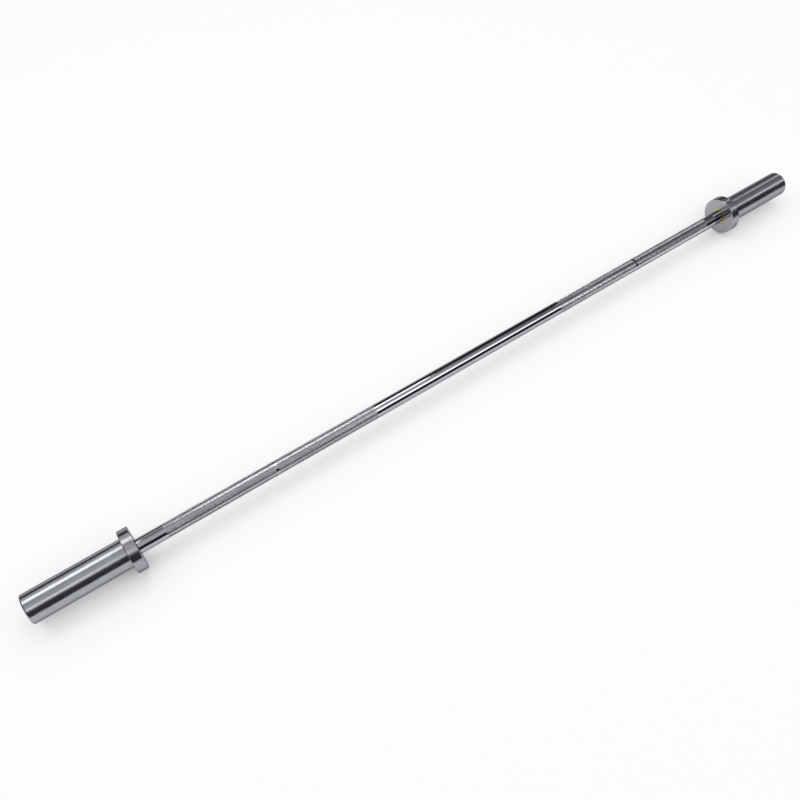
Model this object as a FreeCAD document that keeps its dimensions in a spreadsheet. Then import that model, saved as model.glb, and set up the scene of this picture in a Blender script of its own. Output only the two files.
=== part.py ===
"""Light olympic barbell: a knurled shaft that carries a freely turning 50 mm sleeve at each end.

Frame: millimetres, X along the bar, +Z up, origin on the axis at mid-length.
Every end piece is drawn for the right end; the left end is the same piece turned half a turn about Z.
"""

import FreeCAD
import Part
import enum
import math
import os

import Sketcher

FOLDER = "parts"
HALF_TURN = 180
FULL_TURN = 360
UPRIGHT = FreeCAD.Vector(0, 0, 1)


class SketchAxis(enum.IntEnum):
    """How a sketch counts its own axes."""

    ACROSS = -1
    UP = -2


class SketchPoint(enum.IntEnum):
    """How a sketch counts the points of a line or a circle."""

    START = 1
    END = 2
    CENTRE = 3


SKETCH_ORIGIN = (SketchAxis.ACROSS, SketchPoint.START)

# Driving dimensions, in millimetres.
SIZES = {
    # What shows from outside.
    "between_collars": 1310,
    "collar_diameter": 74,
    "collar_width": 18,
    "collar_edge_radius": 1.5,
    "loading_length": 161,
    "sleeve_diameter": 50,
    "sleeve_end_radius": 3,
    "shaft_diameter": 25,
    "polished_end": 47,
    "knurl_rise": 0.15,
    "ring_spacing": 816,
    "ring_width": 5,
    "centre_smooth": 420,
    # The turned ends of the shaft.
    "shoulder_step": 1.5,
    "shoulder_chamfer": 0.5,
    "shaft_overhang": 3,
    "shaft_end_chamfer": 1,
    "centre_hole_diameter": 6,
    "centre_hole_depth": 5,
    # The bronze bushes, the seal in the inner one, and the spigot that the collar is pressed on.
    "bush_wall": 2.95,
    "inner_bush_length": 32,
    "outer_bush_length": 26,
    "flange_reach": 3,
    "flange_thickness": 4,
    "flange_sink": 0.5,
    "flange_chamfer": 0.5,
    "seal_section": 1.8,
    "seal_inset": 9,
    "spigot_wall": 5,
    # The washers and the sprung ring that hold the sleeve on the shaft.
    "washer_band": 4.9,
    "thrust_thickness": 2,
    "backing_thickness": 1.5,
    "shaft_groove_depth": 0.5,
    "shaft_ring_thickness": 1.2,
    "shaft_ring_width": 3,
    "shaft_ring_gap": 5,
    "shaft_lug_radius": 2.1,
    "shaft_lug_hole": 2,
    # The cap that closes the sleeve, and the sprung ring that holds it in.
    "cap_step": 1.5,
    "cap_gap": 1.5,
    "cap_thickness": 4,
    "cap_rim_width": 5,
    "cap_dish_depth": 0.8,
    "cap_lead": 2,
    "cap_groove_depth": 1,
    "cap_ring_thickness": 1.5,
    "cap_ring_width": 3.6,
    "cap_ring_gap": 9,
    "cap_lug_radius": 2.7,
    "cap_lug_hole": 2.5,
    # How far off centre the outer or inner edge of a sprung ring lies, which thins it towards its gap.
    "ring_offset": 0.5,
    # Clearances: radial for fits, axial for end float and grooves.
    "press_clearance": 0.01,
    "running_clearance": 0.05,
    "washer_clearance": 0.1,
    "chamber_clearance": 0.5,
    "cap_clearance": 0.1,
    "groove_clearance": 0.05,
    "end_float": 0.2,
}

# The most of a wall's thickness that a rounded edge may take.
ROUNDING_SHARE = 0.8


def cell(alias):
    """Expression for one driving dimension."""
    return f"Sizes.{alias}"


def half(alias):
    """Expression for half of one driving dimension."""
    return f"Sizes.{alias} / 2"


# Radii, from the shaft outwards.
SHAFT_RADIUS = half("shaft_diameter")
KNURL_RADIUS = f"{SHAFT_RADIUS} + {cell('knurl_rise')}"
JOURNAL_RADIUS = f"{SHAFT_RADIUS} - {cell('shoulder_step')}"
SHAFT_GROOVE_RADIUS = f"{JOURNAL_RADIUS} - {cell('shaft_groove_depth')}"
SHAFT_RING_RADIUS = f"{SHAFT_GROOVE_RADIUS} + {cell('groove_clearance')}"
SHAFT_LUG_REACH = f"{SHAFT_RING_RADIUS} + 2 * {cell('shaft_lug_radius')}"
BUSH_BORE_RADIUS = f"{JOURNAL_RADIUS} + {cell('running_clearance')}"
SEAL_GROOVE_RADIUS = f"{BUSH_BORE_RADIUS} + {cell('seal_section')} + {cell('groove_clearance')}"
BUSH_RADIUS = f"{BUSH_BORE_RADIUS} + {cell('bush_wall')}"
FLANGE_RADIUS = f"{BUSH_RADIUS} + {cell('flange_reach')}"
SPIGOT_RADIUS = f"{FLANGE_RADIUS} + {cell('press_clearance')} + {cell('spigot_wall')}"
WASHER_BORE_RADIUS = f"{JOURNAL_RADIUS} + {cell('washer_clearance')}"
WASHER_RADIUS = f"{WASHER_BORE_RADIUS} + {cell('washer_band')}"
CHAMBER_RADIUS = f"max({WASHER_RADIUS}; {SHAFT_LUG_REACH}) + {cell('chamber_clearance')}"
CAP_RECESS_RADIUS = f"{CHAMBER_RADIUS} + {cell('cap_step')}"
CAP_RIM_RADIUS = f"{CAP_RECESS_RADIUS} - {cell('cap_clearance')}"
CAP_GROOVE_RADIUS = f"{CAP_RECESS_RADIUS} + {cell('cap_groove_depth')}"
SLEEVE_RADIUS = half("sleeve_diameter")
COLLAR_RADIUS = half("collar_diameter")

# Stations along the bar, from the collar's inner face.
INNER_FACE = half("between_collars")
LOADING_FACE = f"{INNER_FACE} + {cell('collar_width')}"
SLEEVE_END = f"{LOADING_FACE} + {cell('loading_length')}"
FLANGE_FACE = f"{INNER_FACE} + {cell('flange_sink')}"
SHOULDER = f"{FLANGE_FACE} - {cell('end_float')}"
FLANGE_SEAT = f"{FLANGE_FACE} + {cell('flange_thickness')}"
INNER_BUSH_END = f"{FLANGE_FACE} + {cell('inner_bush_length')}"
SEAL_CENTRE = f"{FLANGE_FACE} + {cell('seal_inset')}"
SEAL_HALF_GROOVE = f"({half('seal_section')} + {cell('groove_clearance')})"

# Stations from the sleeve's end back to the outer bush: cap ring, cap, shaft ring, washers.
CAP_GROOVE_OUTER = f"{SLEEVE_END} - {cell('cap_lead')}"
CAP_GROOVE_INNER = f"{CAP_GROOVE_OUTER} - {cell('cap_ring_thickness')} - 2 * {cell('groove_clearance')}"
CAP_RING_FACE = f"{CAP_GROOVE_INNER} + {cell('groove_clearance')}"
CAP_SEAT = f"{CAP_GROOVE_INNER} - {cell('cap_thickness')}"
SHAFT_END = f"{CAP_SEAT} - {cell('cap_gap')}"
SHAFT_GROOVE_OUTER = f"{SHAFT_END} - {cell('shaft_overhang')}"
SHAFT_GROOVE_WIDTH = f"({cell('shaft_ring_thickness')} + 2 * {cell('groove_clearance')})"
SHAFT_GROOVE_INNER = f"{SHAFT_GROOVE_OUTER} - {SHAFT_GROOVE_WIDTH}"
SHAFT_RING_FACE = f"{SHAFT_GROOVE_INNER} + {cell('groove_clearance')}"
BACKING_INNER = f"{SHAFT_GROOVE_INNER} - {cell('backing_thickness')}"
THRUST_OUTER = f"{BACKING_INNER} - {cell('washer_clearance')}"
THRUST_INNER = f"{THRUST_OUTER} - {cell('thrust_thickness')}"
CHAMBER_FLOOR = f"{THRUST_INNER} - {cell('end_float')}"
OUTER_BUSH_START = f"{CHAMBER_FLOOR} - {cell('outer_bush_length')}"

doc = FreeCAD.newDocument("olympic_barbell")
sheet = doc.addObject("Spreadsheet::Sheet", "Sizes")
for row, (alias, size) in enumerate(SIZES.items(), start=1):
    sheet.set(f"A{row}", alias)
    sheet.set(f"B{row}", str(size))
    sheet.setAlias(f"B{row}", alias)
doc.recompute()


def value(expression):
    """Number that an expression on the sheet stands for now."""
    return float(sheet.evalExpression(expression))


def new_body(label):
    """Empty body whose label names its file."""
    body = doc.addObject("PartDesign::Body", label)
    body.Label = label
    return body


def origin_plane(body, role):
    """One of a body's own origin planes."""
    return next(item for item in body.Origin.OriginFeatures if item.Role == role)


def new_sketch(body, name, role):
    """Empty sketch on one of the body's own origin planes."""
    sketch = body.newObject("Sketcher::SketchObject", name)
    sketch.AttachmentSupport = (origin_plane(body, role), [""])
    sketch.MapMode = "FlatFace"
    return sketch


def bind(sketch, name, constraint, expression):
    """Adds a sizing constraint to a sketch and ties it to an expression on the sheet."""
    sketch.renameConstraint(sketch.addConstraint(constraint), name)
    sketch.setExpression(f"Constraints.{name}", expression)


def place_point(sketch, name, geometry, point, across, up):
    """Ties one point of a sketch to a pair of expressions; "0" lays it on the sketch's own axis."""
    if across == "0":
        sketch.addConstraint(Sketcher.Constraint("PointOnObject", geometry, point, SketchAxis.UP))
    else:
        distance = Sketcher.Constraint("DistanceX", *SKETCH_ORIGIN, geometry, point, value(across))
        bind(sketch, f"{name}_across", distance, across)
    if up == "0":
        sketch.addConstraint(Sketcher.Constraint("PointOnObject", geometry, point, SketchAxis.ACROSS))
    else:
        distance = Sketcher.Constraint("DistanceY", *SKETCH_ORIGIN, geometry, point, value(up))
        bind(sketch, f"{name}_up", distance, up)


def draw_outline(sketch, corners):
    """Closed run of straight lines through corners given as pairs of expressions."""
    points = [FreeCAD.Vector(value(across), value(up), 0) for across, up in corners]
    ends = points[1:] + points[:1]
    lines = [sketch.addGeometry(Part.LineSegment(start, end)) for start, end in zip(points, ends)]
    for i, (across, up) in enumerate(corners):
        joint = Sketcher.Constraint("Coincident", lines[i - 1], SketchPoint.END, lines[i], SketchPoint.START)
        sketch.addConstraint(joint)
        place_point(sketch, f"corner{i}", lines[i], SketchPoint.START, across, up)


def draw_circle(sketch, name, radius, across="0", up="0"):
    """Circle whose radius and centre are expressions."""
    middle = FreeCAD.Vector(value(across), value(up), 0)
    circle = sketch.addGeometry(Part.Circle(middle, UPRIGHT, value(radius)))
    bind(sketch, f"{name}_radius", Sketcher.Constraint("Radius", circle, value(radius)), radius)
    place_point(sketch, name, circle, SketchPoint.CENTRE, across, up)


def turn_sketch(body, sketch):
    """Turns a half section a full turn about the bar's axis."""
    turning = body.newObject("PartDesign::Revolution", f"{body.Name}_turning")
    turning.Profile = sketch
    turning.ReferenceAxis = (sketch, ["H_Axis"])
    turning.Angle = FULL_TURN
    doc.recompute()


def turned_body(label, outline):
    """Body turned about the bar's axis from a half section of (station, radius) corners."""
    body = new_body(label)
    profile = new_sketch(body, f"{label}_profile", "XZ_Plane")
    draw_outline(profile, outline)
    turn_sketch(body, profile)
    return body


def ring_section(start, end, inner_radius, outer_radius):
    """Half section of a plain ring between two stations."""
    return [(start, inner_radius), (start, outer_radius), (end, outer_radius), (end, inner_radius)]


def round_rims(body, rims, radius, wall):
    """Rounds the circular edges at (station, radius) pairs, by no more than their wall allows."""
    near = 1e-4
    base = body.Tip
    wanted = [(value(station), value(rim_radius)) for station, rim_radius in rims]
    names = []
    for i, edge in enumerate(base.Shape.Edges, start=1):
        if isinstance(edge.Curve, Part.Circle):
            place = (edge.Curve.Center.x, edge.Curve.Radius)
            if any(math.dist(place, rim) < near for rim in wanted):
                names.append(f"Edge{i}")
    rounding = body.newObject("PartDesign::Fillet", f"{body.Name}_rounding")
    rounding.Base = (base, names)
    rounding.setExpression("Radius", f"min({radius}; {ROUNDING_SHARE} * ({wall}))")
    doc.recompute()


def shaft_body():
    """One-piece shaft: smooth centre, two knurled grips with a smooth ring mark, turned journals."""
    knurl_start = half("centre_smooth")
    knurl_end = f"{INNER_FACE} - {cell('polished_end')}"
    ring_start = f"{half('ring_spacing')} - {half('ring_width')}"
    ring_end = f"{half('ring_spacing')} + {half('ring_width')}"
    right_half = [
        ("0", "0"),
        ("0", SHAFT_RADIUS),
        (knurl_start, SHAFT_RADIUS),
        (knurl_start, KNURL_RADIUS),
        (ring_start, KNURL_RADIUS),
        (ring_start, SHAFT_RADIUS),
        (ring_end, SHAFT_RADIUS),
        (ring_end, KNURL_RADIUS),
        (knurl_end, KNURL_RADIUS),
        (knurl_end, SHAFT_RADIUS),
        (f"{SHOULDER} - {cell('shoulder_chamfer')}", SHAFT_RADIUS),
        (SHOULDER, f"{SHAFT_RADIUS} - {cell('shoulder_chamfer')}"),
        (SHOULDER, JOURNAL_RADIUS),
        (SHAFT_GROOVE_INNER, JOURNAL_RADIUS),
        (SHAFT_GROOVE_INNER, SHAFT_GROOVE_RADIUS),
        (SHAFT_GROOVE_OUTER, SHAFT_GROOVE_RADIUS),
        (SHAFT_GROOVE_OUTER, JOURNAL_RADIUS),
        (f"{SHAFT_END} - {cell('shaft_end_chamfer')}", JOURNAL_RADIUS),
        (SHAFT_END, f"{JOURNAL_RADIUS} - {cell('shaft_end_chamfer')}"),
        (SHAFT_END, half("centre_hole_diameter")),
        (f"{SHAFT_END} - {cell('centre_hole_depth')}", "0"),
    ]
    body = turned_body("shaft", right_half)
    both_halves = body.newObject("PartDesign::Mirrored", "shaft_both_halves")
    both_halves.Originals = [body.Tip]
    both_halves.MirrorPlane = (origin_plane(body, "YZ_Plane"), [""])
    body.Tip = both_halves
    return body


def sleeve_body(label):
    """Tube that the plates slide on, with a spigot for the collar and seats for what it holds."""
    bore_radius = f"{BUSH_RADIUS} + {cell('press_clearance')}"
    seat_radius = f"{FLANGE_RADIUS} + {cell('press_clearance')}"
    outline = [
        (INNER_FACE, seat_radius),
        (INNER_FACE, SPIGOT_RADIUS),
        (LOADING_FACE, SPIGOT_RADIUS),
        (LOADING_FACE, SLEEVE_RADIUS),
        (SLEEVE_END, SLEEVE_RADIUS),
        (SLEEVE_END, CAP_RECESS_RADIUS),
        (CAP_GROOVE_OUTER, CAP_RECESS_RADIUS),
        (CAP_GROOVE_OUTER, CAP_GROOVE_RADIUS),
        (CAP_GROOVE_INNER, CAP_GROOVE_RADIUS),
        (CAP_GROOVE_INNER, CAP_RECESS_RADIUS),
        (CAP_SEAT, CAP_RECESS_RADIUS),
        (CAP_SEAT, CHAMBER_RADIUS),
        (CHAMBER_FLOOR, CHAMBER_RADIUS),
        (CHAMBER_FLOOR, bore_radius),
        (FLANGE_SEAT, bore_radius),
        (FLANGE_SEAT, seat_radius),
    ]
    body = turned_body(label, outline)
    end_wall = f"{SLEEVE_RADIUS} - ({CAP_RECESS_RADIUS})"
    round_rims(body, [(SLEEVE_END, SLEEVE_RADIUS)], cell("sleeve_end_radius"), end_wall)
    return body


def collar_body(label):
    """Ring pressed on the sleeve's spigot, which stops the plates."""
    bore_radius = f"{SPIGOT_RADIUS} + {cell('press_clearance')}"
    body = turned_body(label, ring_section(INNER_FACE, LOADING_FACE, bore_radius, COLLAR_RADIUS))
    rims = [(INNER_FACE, COLLAR_RADIUS), (LOADING_FACE, COLLAR_RADIUS)]
    round_rims(body, rims, cell("collar_edge_radius"), half("collar_width"))
    return body


def inner_bush_body(label):
    """Flanged bronze bush whose flange bears on the shaft's shoulder."""
    groove_start = f"{SEAL_CENTRE} - {SEAL_HALF_GROOVE}"
    groove_end = f"{SEAL_CENTRE} + {SEAL_HALF_GROOVE}"
    outline = [
        (FLANGE_FACE, BUSH_BORE_RADIUS),
        (FLANGE_FACE, f"{FLANGE_RADIUS} - {cell('flange_chamfer')}"),
        (f"{FLANGE_FACE} + {cell('flange_chamfer')}", FLANGE_RADIUS),
        (FLANGE_SEAT, FLANGE_RADIUS),
        (FLANGE_SEAT, BUSH_RADIUS),
        (INNER_BUSH_END, BUSH_RADIUS),
        (INNER_BUSH_END, BUSH_BORE_RADIUS),
        (groove_end, BUSH_BORE_RADIUS),
        (groove_end, SEAL_GROOVE_RADIUS),
        (groove_start, SEAL_GROOVE_RADIUS),
        (groove_start, BUSH_BORE_RADIUS),
    ]
    return turned_body(label, outline)


def dust_seal_body(label):
    """Rubber ring in the inner bush that keeps dust off the journal."""
    body = new_body(label)
    section = new_sketch(body, f"{label}_section", "XZ_Plane")
    middle_radius = f"{BUSH_BORE_RADIUS} + {half('seal_section')}"
    draw_circle(section, "section", half("seal_section"), SEAL_CENTRE, middle_radius)
    turn_sketch(body, section)
    return body


def outer_bush_body(label):
    """Plain bronze bush at the sleeve's outer end."""
    return turned_body(label, ring_section(OUTER_BUSH_START, CHAMBER_FLOOR, BUSH_BORE_RADIUS, BUSH_RADIUS))


def thrust_washer_body(label):
    """Bronze washer that the sleeve pushes against."""
    return turned_body(label, ring_section(THRUST_INNER, THRUST_OUTER, WASHER_BORE_RADIUS, WASHER_RADIUS))


def backing_washer_body(label):
    """Steel washer that spreads the push on the shaft's ring."""
    section = ring_section(BACKING_INNER, SHAFT_GROOVE_INNER, WASHER_BORE_RADIUS, WASHER_RADIUS)
    return turned_body(label, section)


def end_cap_body(label):
    """Disc that closes the sleeve, with a shallow plain dish in its outer face."""
    dish_radius = f"{CAP_RIM_RADIUS} - {cell('cap_rim_width')}"
    dish_floor = f"{CAP_GROOVE_INNER} - {cell('cap_dish_depth')}"
    outline = [
        (CAP_SEAT, "0"),
        (CAP_SEAT, CAP_RIM_RADIUS),
        (CAP_GROOVE_INNER, CAP_RIM_RADIUS),
        (CAP_GROOVE_INNER, dish_radius),
        (dish_floor, f"{dish_radius} - {cell('cap_dish_depth')}"),
        (dish_floor, "0"),
    ]
    return turned_body(label, outline)


def face_sketch(body, name, station):
    """Sketch across the bar at one station, with Y to the right and Z up."""
    sketch = new_sketch(body, name, "YZ_Plane")
    sketch.setExpression("AttachmentOffset.Base.z", station)
    return sketch


def add_pad(body, name, sketch, thickness):
    """Raises a sketch outwards along the bar."""
    pad = body.newObject("PartDesign::Pad", name)
    pad.Profile = sketch
    pad.setExpression("Length", thickness)
    doc.recompute()


def cut_pocket(body, name, sketch, thickness):
    """Cuts a sketch outwards along the bar, and makes sure that it met the piece."""
    before = body.Shape.Volume
    pocket = body.newObject("PartDesign::Pocket", name)
    pocket.Profile = sketch
    pocket.Reversed = True
    pocket.setExpression("Length", thickness)
    doc.recompute()
    if not body.Shape.Volume < before:
        raise RuntimeError(f"{name} cut nothing")


def sprung_ring(label, station, thickness, inner, outer, gap, lug_path, lug_radius, lug_hole):
    """Flat sprung ring with a gap at the top and a drilled lug at each side of the gap.

    The inner and outer edges are circles given as (radius, height of the centre).
    The centres of the lugs lie on a circle of radius lug_path about the bar's axis.
    """
    body = new_body(label)
    band = face_sketch(body, f"{label}_band", station)
    draw_circle(band, "inner", inner[0], up=inner[1])
    draw_circle(band, "outer", outer[0], up=outer[1])
    add_pad(body, f"{label}_blank", band, thickness)

    side = f"{gap} / 2"
    beyond = f"2 * ({outer[0]})"
    slot = face_sketch(body, f"{label}_slot", station)
    draw_outline(slot, [(f"-{side}", "0"), (side, "0"), (side, beyond), (f"-{side}", beyond)])
    cut_pocket(body, f"{label}_gap", slot, thickness)

    across = f"({side} + {lug_radius})"
    height = f"sqrt(({lug_path}) ^ 2 - {across} ^ 2)"
    lugs = face_sketch(body, f"{label}_lug_outline", station)
    holes = face_sketch(body, f"{label}_hole_outline", station)
    for hand, place in (("near", f"-{across}"), ("far", across)):
        draw_circle(lugs, f"{hand}_lug", lug_radius, place, height)
        draw_circle(holes, f"{hand}_hole", f"{lug_hole} / 2", place, height)
    add_pad(body, f"{label}_lugs", lugs, thickness)
    cut_pocket(body, f"{label}_holes", holes, thickness)
    return body


def shaft_circlip_body(label):
    """Ring in the shaft's groove that holds the sleeve on; its lugs stand outwards."""
    offset = cell("ring_offset")
    outer_radius = f"{SHAFT_RING_RADIUS} + {cell('shaft_ring_width')} - {offset}"
    return sprung_ring(
        label,
        SHAFT_RING_FACE,
        cell("shaft_ring_thickness"),
        inner=(SHAFT_RING_RADIUS, "0"),
        outer=(outer_radius, f"-{offset}"),
        gap=cell("shaft_ring_gap"),
        lug_path=f"{SHAFT_RING_RADIUS} + {cell('shaft_lug_radius')}",
        lug_radius=cell("shaft_lug_radius"),
        lug_hole=cell("shaft_lug_hole"),
    )


def cap_circlip_body(label):
    """Ring in the sleeve's groove that holds the cap in; its lugs stand inwards."""
    offset = cell("ring_offset")
    outer_radius = f"{CAP_GROOVE_RADIUS} - {cell('groove_clearance')}"
    inner_radius = f"{outer_radius} - {cell('cap_ring_width')} + {offset}"
    return sprung_ring(
        label,
        CAP_RING_FACE,
        cell("cap_ring_thickness"),
        inner=(inner_radius, offset),
        outer=(outer_radius, "0"),
        gap=cell("cap_ring_gap"),
        lug_path=f"{outer_radius} - {cell('cap_lug_radius')}",
        lug_radius=cell("cap_lug_radius"),
        lug_hole=cell("cap_lug_hole"),
    )


END_PIECES = {
    "sleeve": sleeve_body,
    "collar": collar_body,
    "inner_bush": inner_bush_body,
    "dust_seal": dust_seal_body,
    "outer_bush": outer_bush_body,
    "thrust_washer": thrust_washer_body,
    "backing_washer": backing_washer_body,
    "shaft_circlip": shaft_circlip_body,
    "end_cap": end_cap_body,
    "cap_circlip": cap_circlip_body,
}


def build():
    """Makes the shaft and both sets of end pieces, and returns the bodies."""
    bodies = [shaft_body()]
    for hand, turn in (("right", 0), ("left", HALF_TURN)):
        for name, make in END_PIECES.items():
            body = make(f"{hand}_{name}")
            body.Placement = FreeCAD.Placement(FreeCAD.Vector(), FreeCAD.Rotation(UPRIGHT, turn))
            bodies.append(body)
    doc.recompute()
    return bodies


def check(bodies):
    """Stops with a message if an object failed or a piece is not one sound solid."""
    for item in doc.Objects:
        if {"Invalid", "Error"} & set(item.State):
            raise RuntimeError(f"{item.Label} failed: {item.State}")
    for body in bodies:
        shape = body.Shape
        if shape.isNull() or not shape.isValid() or len(shape.Solids) != 1:
            raise RuntimeError(f"{body.Label} is not one valid solid")


def export(bodies):
    """Writes each piece to its own STEP file."""
    os.makedirs(FOLDER, exist_ok=True)
    for body in bodies:
        body.Shape.exportStep(os.path.join(FOLDER, f"{body.Label}.step"))
        box = body.Shape.BoundBox
        print(f"{body.Label}: x {box.XMin:.2f} to {box.XMax:.2f}, volume {body.Shape.Volume:.1f} mm3")


all_bodies = build()
check(all_bodies)
export(all_bodies)
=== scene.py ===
"""Looks of a light olympic barbell: a turned, knurled shaft with a chromed sleeve turning on each end.

Everything is in metres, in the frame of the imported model: the bar lies along X with its middle at the
origin, and Z is up.
"""

import logging
import math
from dataclasses import dataclass
from enum import Enum

import bmesh
import bpy
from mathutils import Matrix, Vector


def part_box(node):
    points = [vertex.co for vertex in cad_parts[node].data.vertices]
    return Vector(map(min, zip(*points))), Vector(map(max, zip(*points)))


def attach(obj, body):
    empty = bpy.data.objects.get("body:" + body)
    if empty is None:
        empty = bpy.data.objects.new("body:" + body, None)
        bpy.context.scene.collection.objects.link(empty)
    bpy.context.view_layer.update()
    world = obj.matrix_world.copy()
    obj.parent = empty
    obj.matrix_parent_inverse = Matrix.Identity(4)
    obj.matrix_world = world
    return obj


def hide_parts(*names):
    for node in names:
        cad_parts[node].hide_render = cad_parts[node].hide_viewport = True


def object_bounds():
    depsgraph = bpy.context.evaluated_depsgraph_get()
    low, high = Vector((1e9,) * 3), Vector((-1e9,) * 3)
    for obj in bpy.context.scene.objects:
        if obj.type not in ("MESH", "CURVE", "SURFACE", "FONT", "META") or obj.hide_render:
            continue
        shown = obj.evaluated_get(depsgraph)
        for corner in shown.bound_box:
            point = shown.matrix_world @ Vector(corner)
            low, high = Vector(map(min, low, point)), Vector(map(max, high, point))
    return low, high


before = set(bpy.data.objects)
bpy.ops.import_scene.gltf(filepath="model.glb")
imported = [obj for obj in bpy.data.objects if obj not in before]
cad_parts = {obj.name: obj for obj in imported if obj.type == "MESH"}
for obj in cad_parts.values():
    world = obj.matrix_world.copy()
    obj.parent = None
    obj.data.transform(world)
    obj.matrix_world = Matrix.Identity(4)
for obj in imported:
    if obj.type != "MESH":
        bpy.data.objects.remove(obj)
CAD_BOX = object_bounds()

LOG = logging.getLogger("barbell")
TURNING_UV = "turning"
CENTRE = Vector((0.0, 0.0, 0.0))
AXIS = Vector((1.0, 0.0, 0.0))
UPWARDS = Vector((0.0, 0.0, 1.0))
ACROSS_BAR = (0.0, 1.0, 1.0)
FULL_TURN = 2.0 * math.pi
QUARTER_TURN = 0.5 * math.pi
HALF_TURN_DEGREES = 180.0
MERGE_GAP = 1e-6
SHARP_ANGLE = math.radians(35.0)
TURN_STEPS = 160
EASE_SEGMENTS = 4
ROUND_PROFILE = 0.5
NEIGHBOURS_MATERIAL = -1
DIAMOND_CORNERS = 4
UNIT_SPAN = (0.0, 1.0)
SIGNED_SPAN = (-1.0, 1.0)
WHITE = (1.0, 1.0, 1.0)
OPAQUE = 1.0

Colour = tuple[float, float, float]
Place = tuple[float, float, float]
Span = tuple[float, float]
Stops = tuple[tuple[float, float], ...]


class Side(Enum):
    """An end of the bar, with the sign of its stations along X."""

    LEFT = -1
    RIGHT = 1

    @property
    def label(self) -> str:
        """The word that starts the names of this end's pieces."""
        return self.name.lower()

    def node(self, piece: str) -> str:
        """The name of this end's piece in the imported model."""
        return f"{self.label}_{piece}"


class Body(Enum):
    """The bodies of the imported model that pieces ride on."""

    SHAFT = "shaft"
    LEFT_SLEEVE = "left_sleeve_unit"
    RIGHT_SLEEVE = "right_sleeve_unit"

    @classmethod
    def of_sleeve(cls, side: Side) -> "Body":
        """The body that turns on this end of the shaft."""
        return cls.LEFT_SLEEVE if side is Side.LEFT else cls.RIGHT_SLEEVE


class NodeSheet:
    """A node tree with short ways to add nodes and join them."""

    def __init__(self, tree: bpy.types.NodeTree) -> None:
        """Starts the sheet empty.

        Args:
            tree: The node tree of a material or of the world.
        """
        self.tree = tree
        self.tree.nodes.clear()

    def add(self, kind: str, inputs: dict | None = None, **settings: object) -> bpy.types.Node:
        """Adds a node.

        Args:
            kind: The node's type name.
            inputs: For each input's name or index, a socket to link or a value to set.
            **settings: Properties of the node itself.

        Returns:
            The new node.
        """
        node = self.tree.nodes.new(kind)
        for name, value in settings.items():
            setattr(node, name, value)
        for key, value in (inputs or {}).items():
            if isinstance(value, bpy.types.NodeSocket):
                self.tree.links.new(value, node.inputs[key])
            else:
                node.inputs[key].default_value = value
        return node

    def math(self, operation: str, first: object, second: object) -> bpy.types.NodeSocket:
        """Adds a maths node.

        Args:
            operation: The node's operation.
            first: Its first socket or number.
            second: Its second socket or number.

        Returns:
            The node's result.
        """
        return self.add("ShaderNodeMath", {0: first, 1: second}, operation=operation).outputs[0]

    def spread(self, value: bpy.types.NodeSocket, span: Span, reach: Span) -> bpy.types.NodeSocket:
        """Adds a map range node that stays inside its reach.

        Args:
            value: What is mapped.
            span: The least and greatest value that is told apart.
            reach: What these become.

        Returns:
            The node's result.
        """
        inputs = {0: value, 1: span[0], 2: span[1], 3: reach[0], 4: reach[1]}
        return self.add("ShaderNodeMapRange", inputs).outputs[0]

    def blend(self, share: bpy.types.NodeSocket, low: Colour, high: Colour) -> bpy.types.NodeSocket:
        """Adds a colour ramp between two tints.

        Args:
            share: Where on the ramp, from 0 to 1.
            low: The tint at 0.
            high: The tint at 1.

        Returns:
            The ramp's colour.
        """
        ramp = self.add("ShaderNodeValToRGB", {"Fac": share})
        ramp.color_ramp.elements[0].color = (*low, OPAQUE)
        ramp.color_ramp.elements[1].color = (*high, OPAQUE)
        return ramp.outputs["Color"]

    def seen(self) -> bpy.types.NodeSocket:
        """Tells whether a surface is looked at, straight, in a reflection or through glass.

        Returns:
            1 for camera, glossy and transmission rays, and 0 for the light that a surface gives off.
        """
        ray = self.add("ShaderNodeLightPath").outputs
        looked_at = self.math("MAXIMUM", ray["Is Camera Ray"], ray["Is Glossy Ray"])
        return self.math("MAXIMUM", looked_at, ray["Is Transmission Ray"])

    def greys(self, share: bpy.types.NodeSocket, stops: Stops) -> bpy.types.NodeSocket:
        """Adds a ramp of greys.

        Args:
            share: Where on the ramp, from 0 to 1.
            stops: Each stop's place on the ramp and its grey.

        Returns:
            The ramp's colour.
        """
        ramp = self.add("ShaderNodeValToRGB", {"Fac": share})
        elements = ramp.color_ramp.elements
        while len(elements) < len(stops):
            elements.new(UNIT_SPAN[-1])
        for element, (position, grey) in zip(elements, stops):
            element.position = position
            element.color = (grey, grey, grey, OPAQUE)
        return ramp.outputs["Color"]


def new_material(name: str) -> tuple[bpy.types.Material, NodeSheet]:
    """Starts a material.

    Args:
        name: The material's name.

    Returns:
        The material and its empty node sheet.
    """
    material = bpy.data.materials.new(name)
    material.use_nodes = True
    return material, NodeSheet(material.node_tree)


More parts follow.
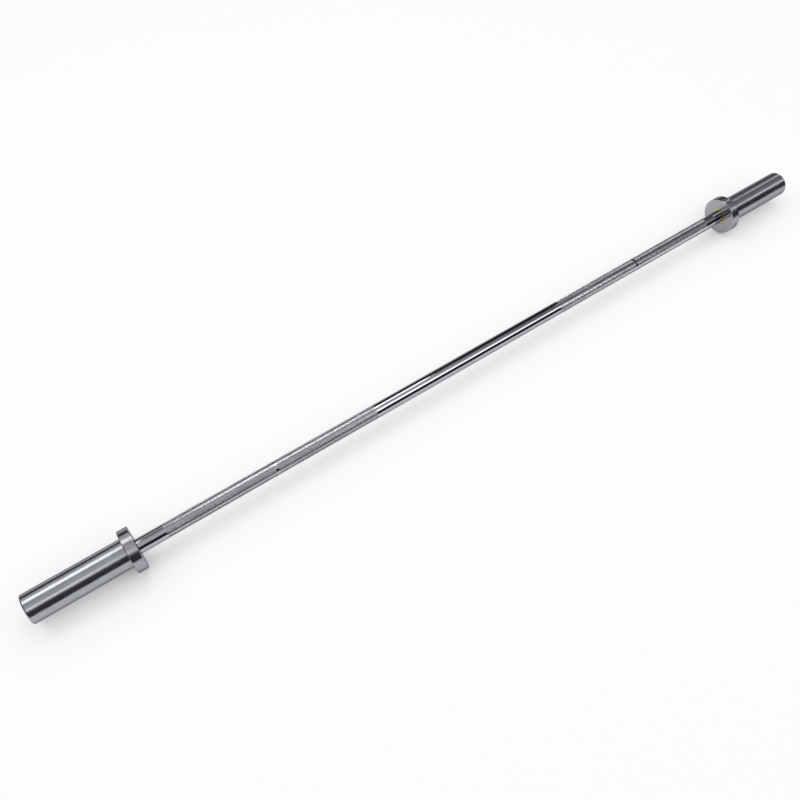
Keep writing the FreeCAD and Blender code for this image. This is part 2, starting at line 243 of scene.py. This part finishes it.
@dataclass(frozen=True)
class TurnedMetal:
    """A turned surface, with the rings that the tool left and the haze and scuffs of handling."""

    name: str
    low_tint: Colour
    high_tint: Colour
    low_roughness: float
    high_roughness: float
    ring_pitch: float
    ring_height: float
    scuff_roughness: float = 0.0
    stretch: float = 0.0
    edge_tint: Colour = WHITE
    metallic: float = 1.0
    haze_scale: float = 45.0
    haze_detail: float = 4.0
    tint_span: Span = (0.3, 0.7)
    roughness_span: Span = (0.25, 0.75)
    ring_detail: float = 2.0
    scuff_run: float = 7.0
    scuff_fineness: float = 900.0
    scuff_detail: float = 3.0
    scuff_span: Span = (0.5, 0.7)

    def material(self) -> bpy.types.Material:
        """The finish as a material, made the first time it is asked for."""
        return bpy.data.materials.get(self.name) or self._make()

    def _make(self) -> bpy.types.Material:
        """Builds the material's nodes.

        Returns:
            The new material.
        """
        material, sheet = new_material(self.name)
        place = sheet.add("ShaderNodeTexCoord").outputs["Object"]
        cloud = {"Vector": place, "Scale": self.haze_scale, "Detail": self.haze_detail}
        haze = sheet.add("ShaderNodeTexNoise", cloud).outputs[0]
        tint_share = sheet.spread(haze, self.tint_span, UNIT_SPAN)
        tint = sheet.blend(tint_share, self.low_tint, self.high_tint)
        roughness = sheet.spread(haze, self.roughness_span, (self.low_roughness, self.high_roughness))
        if self.scuff_roughness:
            roughness = sheet.math("ADD", roughness, self._scuffs(sheet, place))
        marks = {"Strength": 1.0, "Distance": self.ring_height, "Height": self._rings(sheet, place)}
        bump = sheet.add("ShaderNodeBump", marks)
        inputs = {
            "Base Color": tint,
            "Metallic": self.metallic,
            "Roughness": roughness,
            "Specular Tint": (*self.edge_tint, OPAQUE),
            "Anisotropic": self.stretch,
            "Normal": bump.outputs[0],
        }
        if self.stretch:
            tangent = sheet.add("ShaderNodeTangent", direction_type="UV_MAP", uv_map=TURNING_UV)
            inputs["Tangent"] = tangent.outputs[0]
        shader = sheet.add("ShaderNodeBsdfPrincipled", inputs)
        sheet.add("ShaderNodeOutputMaterial", {"Surface": shader.outputs[0]})
        return material

    def _rings(self, sheet: NodeSheet, place: bpy.types.NodeSocket) -> bpy.types.NodeSocket:
        """Tool marks: rings along a round surface and circles on a flat face.

        Args:
            sheet: The material's nodes.
            place: The place on the piece.

        Returns:
            The height of the marks, from 0 to 1.
        """
        station = sheet.add("ShaderNodeSeparateXYZ", {0: place}).outputs[0]
        factors = {0: place, 1: ACROSS_BAR}
        across = sheet.add("ShaderNodeVectorMath", factors, operation="MULTIPLY").outputs[0]
        radius = sheet.add("ShaderNodeVectorMath", {0: across}, operation="LENGTH").outputs["Value"]
        along = sheet.math("ADD", station, radius)
        marks = {"W": along, "Scale": 1.0 / self.ring_pitch, "Detail": self.ring_detail}
        return sheet.add("ShaderNodeTexNoise", marks, noise_dimensions="1D").outputs[0]

    def _scuffs(self, sheet: NodeSheet, place: bpy.types.NodeSocket) -> bpy.types.NodeSocket:
        """Fine lines along the bar, where plates have slid.

        Args:
            sheet: The material's nodes.
            place: The place on the piece.

        Returns:
            The roughness that the lines add.
        """
        scale = (self.scuff_run, self.scuff_fineness, self.scuff_fineness)
        drawn = sheet.add("ShaderNodeMapping", {"Vector": place, "Scale": scale}).outputs[0]
        strokes = {"Vector": drawn, "Scale": 1.0, "Detail": self.scuff_detail}
        lines = sheet.add("ShaderNodeTexNoise", strokes).outputs[0]
        return sheet.spread(lines, self.scuff_span, (0.0, self.scuff_roughness))


CHROME_EDGE = (0.3, 0.3, 0.32)
POLISHED_CHROME = TurnedMetal(
    name="polished_chrome",
    low_tint=(0.42, 0.425, 0.455),
    high_tint=(0.46, 0.465, 0.495),
    low_roughness=0.05,
    high_roughness=0.09,
    ring_pitch=0.0004,
    ring_height=2e-7,
    edge_tint=CHROME_EDGE,
)
SATIN_CHROME = TurnedMetal(
    name="satin_chrome",
    low_tint=(0.375, 0.382, 0.422),
    high_tint=(0.43, 0.438, 0.478),
    low_roughness=0.17,
    high_roughness=0.23,
    ring_pitch=0.0004,
    ring_height=4e-7,
    scuff_roughness=0.06,
    stretch=0.4,
    edge_tint=CHROME_EDGE,
    metallic=0.93,
)
FACED_CHROME = TurnedMetal(
    name="faced_chrome",
    low_tint=(0.36, 0.364, 0.40),
    high_tint=(0.42, 0.424, 0.46),
    low_roughness=0.16,
    high_roughness=0.22,
    ring_pitch=0.0006,
    ring_height=6e-7,
    stretch=0.3,
    edge_tint=CHROME_EDGE,
    metallic=0.93,
)
ROLLED_CHROME = TurnedMetal(
    name="rolled_chrome",
    low_tint=(0.53, 0.532, 0.56),
    high_tint=(0.59, 0.592, 0.62),
    low_roughness=0.18,
    high_roughness=0.26,
    ring_pitch=0.0004,
    ring_height=3e-7,
    edge_tint=CHROME_EDGE,
)
TURNED_BRONZE = TurnedMetal(
    name="turned_bronze",
    low_tint=(0.42, 0.385, 0.16),
    high_tint=(0.55, 0.515, 0.28),
    low_roughness=0.28,
    high_roughness=0.40,
    ring_pitch=0.0004,
    ring_height=4e-6,
    haze_scale=160.0,
)
WASHER_STEEL = TurnedMetal(
    name="washer_steel",
    low_tint=(0.36, 0.36, 0.37),
    high_tint=(0.46, 0.46, 0.46),
    low_roughness=0.30,
    high_roughness=0.42,
    ring_pitch=0.0005,
    ring_height=4e-6,
    haze_scale=120.0,
)
SPRING_STEEL = TurnedMetal(
    name="spring_steel",
    low_tint=(0.035, 0.035, 0.04),
    high_tint=(0.075, 0.073, 0.075),
    low_roughness=0.36,
    high_roughness=0.52,
    ring_pitch=0.0009,
    ring_height=6e-6,
    metallic=0.7,
    haze_scale=400.0,
)
CAP_STEEL = TurnedMetal(
    name="cap_steel",
    low_tint=(0.42, 0.42, 0.44),
    high_tint=(0.50, 0.50, 0.52),
    low_roughness=0.28,
    high_roughness=0.36,
    ring_pitch=0.0006,
    ring_height=5e-6,
    stretch=0.5,
)
SEAL_RUBBER = TurnedMetal(
    name="seal_rubber",
    low_tint=(0.012, 0.012, 0.013),
    high_tint=(0.028, 0.027, 0.027),
    low_roughness=0.55,
    high_roughness=0.75,
    ring_pitch=0.0012,
    ring_height=1e-5,
    metallic=0.0,
    haze_scale=300.0,
)
INNER_FINISHES = {
    "dust_seal": SEAL_RUBBER,
    "outer_bush": TURNED_BRONZE,
    "thrust_washer": TURNED_BRONZE,
    "backing_washer": WASHER_STEEL,
    "shaft_circlip": SPRING_STEEL,
    "cap_circlip": SPRING_STEEL,
}


@dataclass(frozen=True)
class PaleFloor:
    """The floor's finish: plain and pale, white to whatever looks at it, with the bar's real shadow kept on
    its matt part and a painted shade, from ambient occlusion, on its white.
    """

    name: str = "pale_floor"
    low_tint: Colour = (0.88, 0.88, 0.885)
    high_tint: Colour = (0.92, 0.92, 0.92)
    grain_scale: float = 3.0
    white_share: float = 0.95
    shade_reach: float = 0.09

    def material(self) -> bpy.types.Material:
        """Builds the floor's material.

        Returns:
            A matt surface that is lifted towards white for camera, glossy and transmission rays, and less so
            close under the bar, where ambient occlusion paints shade into the white.
        """
        material, sheet = new_material(self.name)
        place = sheet.add("ShaderNodeTexCoord").outputs["Object"]
        grain = sheet.add("ShaderNodeTexNoise", {"Vector": place, "Scale": self.grain_scale}).outputs[0]
        tint = sheet.blend(grain, self.low_tint, self.high_tint)
        matt = sheet.add("ShaderNodeBsdfDiffuse", {"Color": tint}).outputs[0]
        white = sheet.add("ShaderNodeEmission", {"Color": (*WHITE, OPAQUE)}).outputs[0]
        # Painted shade: ambient occlusion dims the white lift close under the bar, for the camera and in
        # reflections.
        open_share = sheet.add("ShaderNodeAmbientOcclusion", {"Distance": self.shade_reach}).outputs["AO"]
        lift = sheet.math("MULTIPLY", open_share, self.white_share)
        share = sheet.math("MULTIPLY", sheet.seen(), lift)
        surface = sheet.add("ShaderNodeMixShader", {0: share, 1: matt, 2: white}).outputs[0]
        sheet.add("ShaderNodeOutputMaterial", {"Surface": surface})
        return material


@dataclass(frozen=True)
class GreyTent:
    """The tent's finish: a grey for each bearing about the bar's axis, counted from the far horizon upwards.

    It is darkest near the horizon, dimmer towards the bar's ends and light again straight along the bar.
    """

    name: str = "grey_tent"
    greys_by_bearing: Stops = (
        (0.0, 0.053),
        (20.0, 0.026),
        (40.0, 0.016),
        (53.0, 0.106),
        (60.0, 0.198),
        (67.0, 0.317),
        (81.0, 0.515),
        (95.0, 0.686),
        (112.0, 0.739),
        (131.0, 0.713),
        (138.0, 0.075),
        (146.0, 0.022),
        (180.0, 0.022),
    )
    shares_by_lean: Stops = (
        (-0.97, 0.9),
        (-0.88, 0.12),
        (-0.6, 0.12),
        (-0.3, 1.0),
        (0.34, 1.0),
        (0.60, 0.27),
        (0.66, 0.27),
        (0.71, 0.42),
        (0.88, 0.42),
        (0.97, 0.9),
    )

    def material(self) -> bpy.types.Material:
        """Builds the tent's material.

        Returns:
            A surface that gives off its grey, by its bearing about the bar's axis and its lean along it.
        """
        material, sheet = new_material(self.name)
        material.cycles.emission_sampling = "NONE"
        place = sheet.add("ShaderNodeTexCoord").outputs["Object"]
        direction = sheet.add("ShaderNodeVectorMath", {0: place}, operation="NORMALIZE").outputs[0]
        lean, far, high = sheet.add("ShaderNodeSeparateXYZ", {0: direction}).outputs
        turn = sheet.math("DIVIDE", sheet.math("ARCTAN2", high, far), math.pi)
        slide = sheet.spread(lean, SIGNED_SPAN, UNIT_SPAN)
        bearings = tuple((degrees / HALF_TURN_DEGREES, grey) for degrees, grey in self.greys_by_bearing)
        leans = tuple((0.5 + 0.5 * lean_at, share) for lean_at, share in self.shares_by_lean)
        inputs = {"Color": sheet.greys(turn, bearings), "Strength": sheet.greys(slide, leans)}
        glow = sheet.add("ShaderNodeEmission", inputs).outputs[0]
        sheet.add("ShaderNodeOutputMaterial", {"Surface": glow})
        return material


def piece_from(name: str, shape: bmesh.types.BMesh) -> bpy.types.Object:
    """Turns a finished shape into an object at the origin, with smooth faces and crisp edges.

    Args:
        name: The new object's name.
        shape: The shape, which is freed.

    Returns:
        The new object.
    """
    for face in shape.faces:
        face.smooth = True
    for edge in shape.edges:
        edge.smooth = edge.calc_face_angle(0.0) < SHARP_ANGLE
    mesh = bpy.data.meshes.new(name)
    shape.to_mesh(mesh)
    shape.free()
    piece = bpy.data.objects.new(name, mesh)
    bpy.context.scene.collection.objects.link(piece)
    return piece


def dress(piece: bpy.types.Object, finish: TurnedMetal, body: Body, node: str) -> None:
    """Gives a new piece its finish, the body it moves with and the node it stands for.

    Args:
        piece: The new piece.
        finish: What its surface is.
        body: What it rides on.
        node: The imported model's node that it replaces.
    """
    piece.data.materials.append(finish.material())
    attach(piece, body.value)
    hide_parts(node)
    LOG.info("%s: %d faces, %s, stands for %s", piece.name, len(piece.data.polygons), finish.name, node)


@dataclass(frozen=True)
class Corner:
    """A corner of a turned outline: its station along the bar, its radius and how far its edge is eased."""

    station: float
    radius: float
    ease: float = 0.0

    def on(self, side: Side) -> "Corner":
        """The same corner on one end of the bar."""
        return Corner(self.station * side.value, self.radius, self.ease)

    def holds(self, vertex: bmesh.types.BMVert) -> bool:
        """Whether a vertex of the spun shape lies on this corner's rim."""
        radius = math.hypot(vertex.co.y, vertex.co.z)
        return abs(vertex.co.x - self.station) < MERGE_GAP and abs(radius - self.radius) < MERGE_GAP


@dataclass
class Turning:
    """A piece made on a lathe: an outline spun about the bar's axis, with its edges eased."""

    name: str
    outline: list[Corner]
    solid: bool = False

    def build(self) -> bpy.types.Object:
        """Spins the outline.

        Returns:
            The new piece. A solid outline starts and ends on the axis, and any other is a closed ring.
        """
        shape = bmesh.new()
        verts = [shape.verts.new((corner.station, corner.radius, 0.0)) for corner in self.outline]
        followers = verts[1:] if self.solid else verts[1:] + verts[:1]
        edges = [shape.edges.new(pair) for pair in zip(verts, followers)]
        bmesh.ops.spin(
            shape,
            geom=[*verts, *edges],
            cent=CENTRE,
            axis=AXIS,
            angle=FULL_TURN,
            steps=TURN_STEPS,
            use_merge=True,
        )
        bmesh.ops.remove_doubles(shape, verts=shape.verts, dist=MERGE_GAP)
        bmesh.ops.recalc_face_normals(shape, faces=shape.faces)
        for corner in self.outline:
            if corner.ease:
                self._ease(shape, corner)
        self._lay_map(shape)
        piece = piece_from(self.name, shape)
        piece.modifiers.new("even_gloss", "WEIGHTED_NORMAL").keep_sharp = True
        return piece

    @staticmethod
    def _ease(shape: bmesh.types.BMesh, corner: Corner) -> None:
        """Rounds the rim at one corner.

        Args:
            shape: The spun shape.
            corner: The corner, with how far its edge is eased.
        """
        rim = [edge for edge in shape.edges if all(corner.holds(vertex) for vertex in edge.verts)]
        bmesh.ops.bevel(
            shape,
            geom=rim,
            offset=corner.ease,
            offset_type="OFFSET",
            segments=EASE_SEGMENTS,
            profile=ROUND_PROFILE,
            affect="EDGES",
            material=NEIGHBOURS_MATERIAL,
            clamp_overlap=True,
        )

    @staticmethod
    def _lay_map(shape: bmesh.types.BMesh) -> None:
        """Lays a UV map along the outline and round the axis, so that the gloss can follow the tool marks.

        Args:
            shape: The spun shape.
        """
        layer = shape.loops.layers.uv.new(TURNING_UV)
        for face in shape.faces:
            middle = face.calc_center_median()
            outward = Vector((0.0, middle.y, middle.z)).normalized()
            facing_out = face.normal.dot(outward)
            facing_along = face.normal.x
            bearing = math.atan2(middle.z, middle.y)
            for loop in face.loops:
                place = loop.vert.co
                radius = math.hypot(place.y, place.z)
                turn = math.remainder(math.atan2(place.z, place.y) - bearing, FULL_TURN)
                along = place.x * facing_out - radius * facing_along
                loop[layer].uv = (along, (bearing + turn) / FULL_TURN)


@dataclass
class KnurlBand:
    """A stretch of the shaft rolled with raised diamonds, as a ring round the shaft's core."""

    name: str
    start: float
    end: float
    core_radius: float
    root_radius: float
    crest_radius: float
    flank: float = 0.00021
    diamonds_round: int = 72
    slant: float = math.radians(30.0)

    def build(self) -> bpy.types.Object:
        """Rolls the diamonds into a plain ring.

        Returns:
            The new piece.
        """
        shape = bmesh.new()
        skin = self._roll_grid(shape)
        self._close_ring(shape)
        bmesh.ops.recalc_face_normals(shape, faces=shape.faces)
        diamonds = self._mark_diamonds(shape, skin)
        bmesh.ops.inset_individual(
            shape,
            faces=diamonds,
            thickness=self.flank,
            depth=self.crest_radius - self.root_radius,
            use_even_offset=True,
        )
        return piece_from(self.name, shape)

    def _roll_grid(self, shape: bmesh.types.BMesh) -> list[bmesh.types.BMFace]:
        """Spins a line of even rows into a tube at the root of the diamonds.

        Args:
            shape: The empty shape.

        Returns:
            The tube's faces, each as wide and as long as a diamond.
        """
        width = FULL_TURN * self.root_radius / self.diamonds_round
        rows = round((self.end - self.start) * math.tan(self.slant) / width)
        ends = [shape.verts.new((station, self.root_radius, 0.0)) for station in (self.start, self.end)]
        line = shape.edges.new(ends)
        bmesh.ops.subdivide_edges(shape, edges=[line], cuts=rows - 1)
        bmesh.ops.spin(
            shape,
            geom=[*shape.verts, *shape.edges],
            cent=CENTRE,
            axis=AXIS,
            angle=FULL_TURN,
            steps=self.diamonds_round,
            use_merge=True,
        )
        bmesh.ops.remove_doubles(shape, verts=shape.verts, dist=MERGE_GAP)
        return list(shape.faces)

    def _close_ring(self, shape: bmesh.types.BMesh) -> None:
        """Adds the ring's ends and its inner wall.

        Args:
            shape: The open tube.
        """
        rims = [edge for edge in shape.edges if edge.is_boundary]
        drawn = bmesh.ops.extrude_edge_only(shape, edges=rims)["geom"]
        for vertex in drawn:
            if isinstance(vertex, bmesh.types.BMVert):
                self._set_radius(vertex, self.core_radius)
        inner = [edge for edge in drawn if isinstance(edge, bmesh.types.BMEdge) and edge.is_boundary]
        bmesh.ops.bridge_loops(shape, edges=inner)

    def _mark_diamonds(
        self, shape: bmesh.types.BMesh, skin: list[bmesh.types.BMFace]
    ) -> list[bmesh.types.BMFace]:
        """Turns the tube's square faces into diamonds, by joining the quarters of neighbours.

        Args:
            shape: The closed ring.
            skin: Its outer faces.

        Returns:
            The whole diamonds, without the halves along the band's ends.
        """
        outer = set(skin)
        seams = [edge for edge in shape.edges if all(face in outer for face in edge.link_faces)]
        poked = bmesh.ops.poke(shape, faces=skin)
        for vertex in poked["verts"]:
            self._set_radius(vertex, self.root_radius)
        quarters = set(poked["faces"])
        bmesh.ops.dissolve_edges(shape, edges=seams, use_verts=False, use_face_split=False)
        bmesh.ops.recalc_face_normals(shape, faces=shape.faces)
        inside = 0.5 * (self.core_radius + self.root_radius)
        return [
            face
            for face in shape.faces
            if len(face.verts) == DIAMOND_CORNERS
            and face not in quarters
            and all(math.hypot(vertex.co.y, vertex.co.z) > inside for vertex in face.verts)
        ]

    @staticmethod
    def _set_radius(vertex: bmesh.types.BMVert, radius: float) -> None:
        """Moves a vertex in or out to a radius about the bar's axis."""
        share = radius / math.hypot(vertex.co.y, vertex.co.z)
        vertex.co = (vertex.co.x, vertex.co.y * share, vertex.co.z * share)


@dataclass
class Shaft:
    """The turned shaft with its four knurled grips."""

    radius: float = 0.0125
    core_radius: float = 0.0123
    root_radius: float = 0.01244
    crest_radius: float = 0.01265
    centre_end: float = 0.210
    ring_start: float = 0.4055
    ring_end: float = 0.4105
    knurl_end: float = 0.608
    shoulder: float = 0.6553
    journal_radius: float = 0.011
    groove_start: float = 0.8206
    groove_end: float = 0.8219
    groove_radius: float = 0.0105
    end: float = 0.8249
    hole_radius: float = 0.003
    hole_depth: float = 0.005
    fine_ease: float = 0.0001
    shoulder_ease: float = 0.0005
    end_ease: float = 0.001

    def build(self) -> None:
        """Makes the shaft and its grips and lets them ride on the shaft's body."""
        self._dress(self._turned(), POLISHED_CHROME)
        grips = {"inner": (self.centre_end, self.ring_start), "outer": (self.ring_end, self.knurl_end)}
        for side in Side:
            for grip, ends in grips.items():
                start, end = sorted(side.value * station for station in ends)
                band = KnurlBand(
                    name=f"{side.label}_{grip}_knurl",
                    start=start,
                    end=end,
                    core_radius=self.core_radius,
                    root_radius=self.root_radius,
                    crest_radius=self.crest_radius,
                )
                self._dress(band.build(), ROLLED_CHROME)

    def _turned(self) -> bpy.types.Object:
        """Turns the shaft itself.

        Returns:
            The new piece, necked under its grips, with a shoulder, a journal and a ring groove at each end.
        """
        half = [
            Corner(self.centre_end, self.radius, self.fine_ease),
            Corner(self.centre_end, self.core_radius),
            Corner(self.ring_start, self.core_radius),
            Corner(self.ring_start, self.radius, self.fine_ease),
            Corner(self.ring_end, self.radius, self.fine_ease),
            Corner(self.ring_end, self.core_radius),
            Corner(self.knurl_end, self.core_radius),
            Corner(self.knurl_end, self.radius, self.fine_ease),
            Corner(self.shoulder, self.radius, self.shoulder_ease),
            Corner(self.shoulder, self.journal_radius),
            Corner(self.groove_start, self.journal_radius),
            Corner(self.groove_start, self.groove_radius),
            Corner(self.groove_end, self.groove_radius),
            Corner(self.groove_end, self.journal_radius),
            Corner(self.end, self.journal_radius, self.end_ease),
            Corner(self.end, self.hole_radius),
            Corner(self.end - self.hole_depth, 0.0),
        ]
        left = [corner.on(Side.LEFT) for corner in reversed(half)]
        return Turning("polished_shaft", left + half, solid=True).build()

    @staticmethod
    def _dress(piece: bpy.types.Object, finish: TurnedMetal) -> None:
        """Dresses a piece of the shaft."""
        dress(piece, finish, Body.SHAFT, "shaft")


@dataclass
class SleeveUnit:
    """What turns on one end of the shaft: the sleeve, its stop collar, the flanged bush and the end cap."""

    side: Side
    sleeve_end_ease: float = 0.003
    collar_ease: float = 0.0015
    flange_ease: float = 0.0005
    fine_ease: float = 0.0003
    joint_ease: float = 0.0007
    joint_gap: float = 0.00001
    spigot_radius: float = 0.02201
    flange_seat_depth: float = 0.0045
    bush_radius: float = 0.014
    bush_bore_radius: float = 0.01105
    flange_thickness: float = 0.004
    seal_groove_start: float = 0.66355
    seal_groove_end: float = 0.66545
    seal_groove_radius: float = 0.0129
    chamber_start: float = 0.8168
    chamber_radius: float = 0.0165
    recess_radius: float = 0.018
    ring_groove_start: float = 0.8304
    ring_groove_end: float = 0.832
    ring_groove_radius: float = 0.019
    cap_rim: float = 0.005
    cap_dish_depth: float = 0.0008

    def build(self) -> None:
        """Makes the unit's pieces and lets them ride on its body."""
        body = Body.of_sleeve(self.side)
        makers = (
            ("sleeve", self._sleeve, SATIN_CHROME, "sleeve_chrome"),
            ("collar", self._collar, FACED_CHROME, "collar_chrome"),
            ("inner_bush", self._bush, TURNED_BRONZE, "bush_bronze"),
            ("end_cap", self._cap, CAP_STEEL, "cap_steel"),
        )
        for node, outline, finish, slot in makers:
            name = self.side.node(node)
            corners = [corner.on(self.side) for corner in outline()]
            piece = Turning(f"{name}_turned", corners, solid=node == "end_cap").build()
            dress(piece, finish, body, name)

    def _reach(self, node: str) -> tuple[float, float, float]:
        """Reads a node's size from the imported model.

        Args:
            node: The node's name without its end of the bar.

        Returns:
            Its nearest and furthest station from the bar's middle, and its radius.
        """
        low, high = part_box(self.side.node(node))
        near, far = sorted((abs(low.x), abs(high.x)))
        return near, far, high.z

    def _sleeve(self) -> list[Corner]:
        """Draws the sleeve.

        Returns:
            The outline of a tube with a spigot for the collar and a recess for the cap.
        """
        near, far, radius = self._reach("sleeve")
        shoulder = self._reach("collar")[1]
        flange_radius = self._reach("inner_bush")[2] + self.joint_gap
        seat = near + self.flange_seat_depth
        recess = self._reach("end_cap")[0]
        bore = self.bush_radius + self.joint_gap
        return [
            Corner(near, flange_radius),
            Corner(near, self.spigot_radius, self.fine_ease),
            Corner(shoulder, self.spigot_radius),
            Corner(shoulder, radius, self.joint_ease),
            Corner(far, radius, self.sleeve_end_ease),
            Corner(far, self.recess_radius, self.fine_ease),
            Corner(self.ring_groove_end, self.recess_radius),
            Corner(self.ring_groove_end, self.ring_groove_radius),
            Corner(self.ring_groove_start, self.ring_groove_radius),
            Corner(self.ring_groove_start, self.recess_radius),
            Corner(recess, self.recess_radius),
            Corner(recess, self.chamber_radius),
            Corner(self.chamber_start, self.chamber_radius),
            Corner(self.chamber_start, bore),
            Corner(seat, bore),
            Corner(seat, flange_radius),
        ]

    def _collar(self) -> list[Corner]:
        """Draws the stop collar.

        Returns:
            The outline of a wide ring with rounded rims.
        """
        near, far, radius = self._reach("collar")
        bore = self.spigot_radius + self.joint_gap
        return [
            Corner(near, bore, self.fine_ease),
            Corner(near, radius, self.collar_ease),
            Corner(far, radius, self.collar_ease),
            Corner(far, bore),
        ]

    def _bush(self) -> list[Corner]:
        """Draws the flanged bush.

        Returns:
            Its outline, with the groove for its seal.
        """
        near, far, flange_radius = self._reach("inner_bush")
        flange_back = near + self.flange_thickness
        return [
            Corner(near, self.bush_bore_radius, self.fine_ease),
            Corner(near, flange_radius, self.flange_ease),
            Corner(flange_back, flange_radius),
            Corner(flange_back, self.bush_radius),
            Corner(far, self.bush_radius, self.fine_ease),
            Corner(far, self.bush_bore_radius),
            Corner(self.seal_groove_end, self.bush_bore_radius),
            Corner(self.seal_groove_end, self.seal_groove_radius),
            Corner(self.seal_groove_start, self.seal_groove_radius),
            Corner(self.seal_groove_start, self.bush_bore_radius),
        ]

    def _cap(self) -> list[Corner]:
        """Draws the end cap.

        Returns:
            The outline of a disc with a raised rim.
        """
        near, far, radius = self._reach("end_cap")
        dish_radius = radius - self.cap_rim
        dish = far - self.cap_dish_depth
        return [
            Corner(near, 0.0),
            Corner(near, radius, self.fine_ease),
            Corner(far, radius, self.fine_ease),
            Corner(far, dish_radius, self.fine_ease),
            Corner(dish, dish_radius),
            Corner(dish, 0.0),
        ]


@dataclass
class InnerPieces:
    """The pieces inside one sleeve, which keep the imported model's own shapes."""

    side: Side

    def dress(self) -> None:
        """Gives each inner piece its finish."""
        for piece, finish in INNER_FINISHES.items():
            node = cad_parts[self.side.node(piece)]
            for slot in node.material_slots:
                slot.material = finish.material()
            LOG.info("%s: kept, %s", node.name, finish.name)


@dataclass
class PhotoCamera:
    """The camera at the photograph's viewing angle, above the left half of the bar."""

    location: Place = (-0.6061, -0.6504, 1.1491)
    heading: float = math.radians(34.63)
    dip: float = math.radians(55.65)
    focal_pixels: float = 789.5
    frame_pixels: float = 800.0

    def build(self) -> None:
        """Makes the camera and sets it as the scene's."""
        data = bpy.data.cameras.new("photo_camera")
        data.lens = data.sensor_width * self.focal_pixels / self.frame_pixels
        camera = bpy.data.objects.new("photo_camera", data)
        camera.location = self.location
        camera.rotation_euler = (QUARTER_TURN - self.dip, 0.0, -self.heading)
        bpy.context.scene.collection.objects.link(camera)
        bpy.context.scene.camera = camera


@dataclass(frozen=True)
class Softbox:
    """A long soft lamp beside the bar, facing its axis.

    Its bearing is in degrees about that axis, counted from the far horizon upwards.
    """

    name: str
    bearing: float
    start: float
    end: float
    width: float
    radiance: float
    distance: float = 1.6

    def build(self) -> None:
        """Hangs the lamp at its bearing."""
        data = bpy.data.lights.new(self.name, "AREA")
        data.shape = "RECTANGLE"
        data.size = self.end - self.start
        data.size_y = self.width
        data.energy = self.radiance * math.pi * data.size * data.size_y
        lamp = bpy.data.objects.new(self.name, data)
        middle = 0.5 * (self.start + self.end)
        turn = math.radians(self.bearing)
        lamp.location = (middle, self.distance * math.cos(turn), self.distance * math.sin(turn))
        lamp.rotation_euler = (turn - QUARTER_TURN, 0.0, 0.0)
        bpy.context.scene.collection.objects.link(lamp)


@dataclass
class Studio:
    """A pale floor and backdrop, softboxes on both sides, and a grey tent that the camera looks through."""

    tent_radius: float = 8.5
    tent_rings: int = 24
    floor_radius: float = 8.0
    floor_sides: int = 96
    floor_gap: float = 0.0002
    softboxes: tuple[Softbox, ...] = (
        Softbox("far_left_softbox", bearing=61.0, start=-1.8, end=-0.705, width=0.64, radiance=2.35),
        Softbox("far_grip_softbox", bearing=62.0, start=-0.51, end=0.27, width=0.60, radiance=5.6),
        Softbox("far_softbox", bearing=62.0, start=0.27, end=0.53, width=0.60, radiance=2.5),
        Softbox("far_inner_softbox", bearing=60.0, start=1.2, end=1.56, width=0.60, radiance=0.9),
        Softbox("far_right_softbox", bearing=55.0, start=2.2, end=2.9, width=0.45, radiance=1.2),
        Softbox("far_low_softbox", bearing=37.0, start=-1.8, end=0.0, width=0.50, radiance=0.70),
        Softbox("far_low_right_softbox", bearing=33.0, start=1.9, end=3.0, width=0.60, radiance=0.24),
        Softbox("near_left_softbox", bearing=122.0, start=-1.8, end=-0.75, width=0.35, radiance=0.93),
        Softbox("near_softbox", bearing=126.0, start=0.22, end=1.5, width=0.60, radiance=1.92),
        Softbox("near_right_softbox", bearing=122.0, start=2.2, end=2.9, width=0.45, radiance=1.37),
    )

    def build(self) -> None:
        """Makes the backdrop, the tent, the lamps and the floor."""
        self._backdrop()
        self._tent()
        for softbox in self.softboxes:
            softbox.build()
        self._floor()
        bpy.context.scene.view_settings.view_transform = "Standard"

    @staticmethod
    def _backdrop() -> None:
        """Makes the world white where it is seen, without any light of its own."""
        world = bpy.data.worlds.new("backdrop")
        world.use_nodes = True
        sheet = NodeSheet(world.node_tree)
        sky = sheet.add("ShaderNodeBackground", {"Color": (*WHITE, OPAQUE), "Strength": sheet.seen()})
        sheet.add("ShaderNodeOutputWorld", {"Surface": sky.outputs[0]})
        bpy.context.scene.world = world

    def _tent(self) -> None:
        """Hangs the tent over the bar and the lamps, down to the floor."""
        shape = bmesh.new()
        bmesh.ops.create_uvsphere(
            shape, u_segments=2 * self.tent_rings, v_segments=self.tent_rings, radius=self.tent_radius
        )
        ground = Vector((0.0, 0.0, CAD_BOX[0].z))
        bmesh.ops.bisect_plane(
            shape,
            geom=[*shape.verts, *shape.edges, *shape.faces],
            plane_co=ground,
            plane_no=UPWARDS,
            clear_inner=True,
        )
        bmesh.ops.reverse_faces(shape, faces=shape.faces)
        tent = piece_from("tent", shape)
        tent.data.materials.append(GreyTent().material())
        tent.visible_camera = False

    def _floor(self) -> None:
        """Lays the pale floor just under the collars."""
        shape = bmesh.new()
        bmesh.ops.create_circle(shape, cap_ends=True, radius=self.floor_radius, segments=self.floor_sides)
        drop = Vector((0.0, 0.0, CAD_BOX[0].z - self.floor_gap))
        bmesh.ops.translate(shape, verts=shape.verts, vec=drop)
        floor = piece_from("floor", shape)
        floor.data.materials.append(PaleFloor().material())


def main() -> None:
    """Builds the studio, the camera and the bar."""
    logging.basicConfig(level=logging.INFO, format="%(name)s %(message)s")
    Studio().build()
    PhotoCamera().build()
    Shaft().build()
    for side in Side:
        SleeveUnit(side).build()
        InnerPieces(side).dress()


if __name__ == "__main__":
    main()
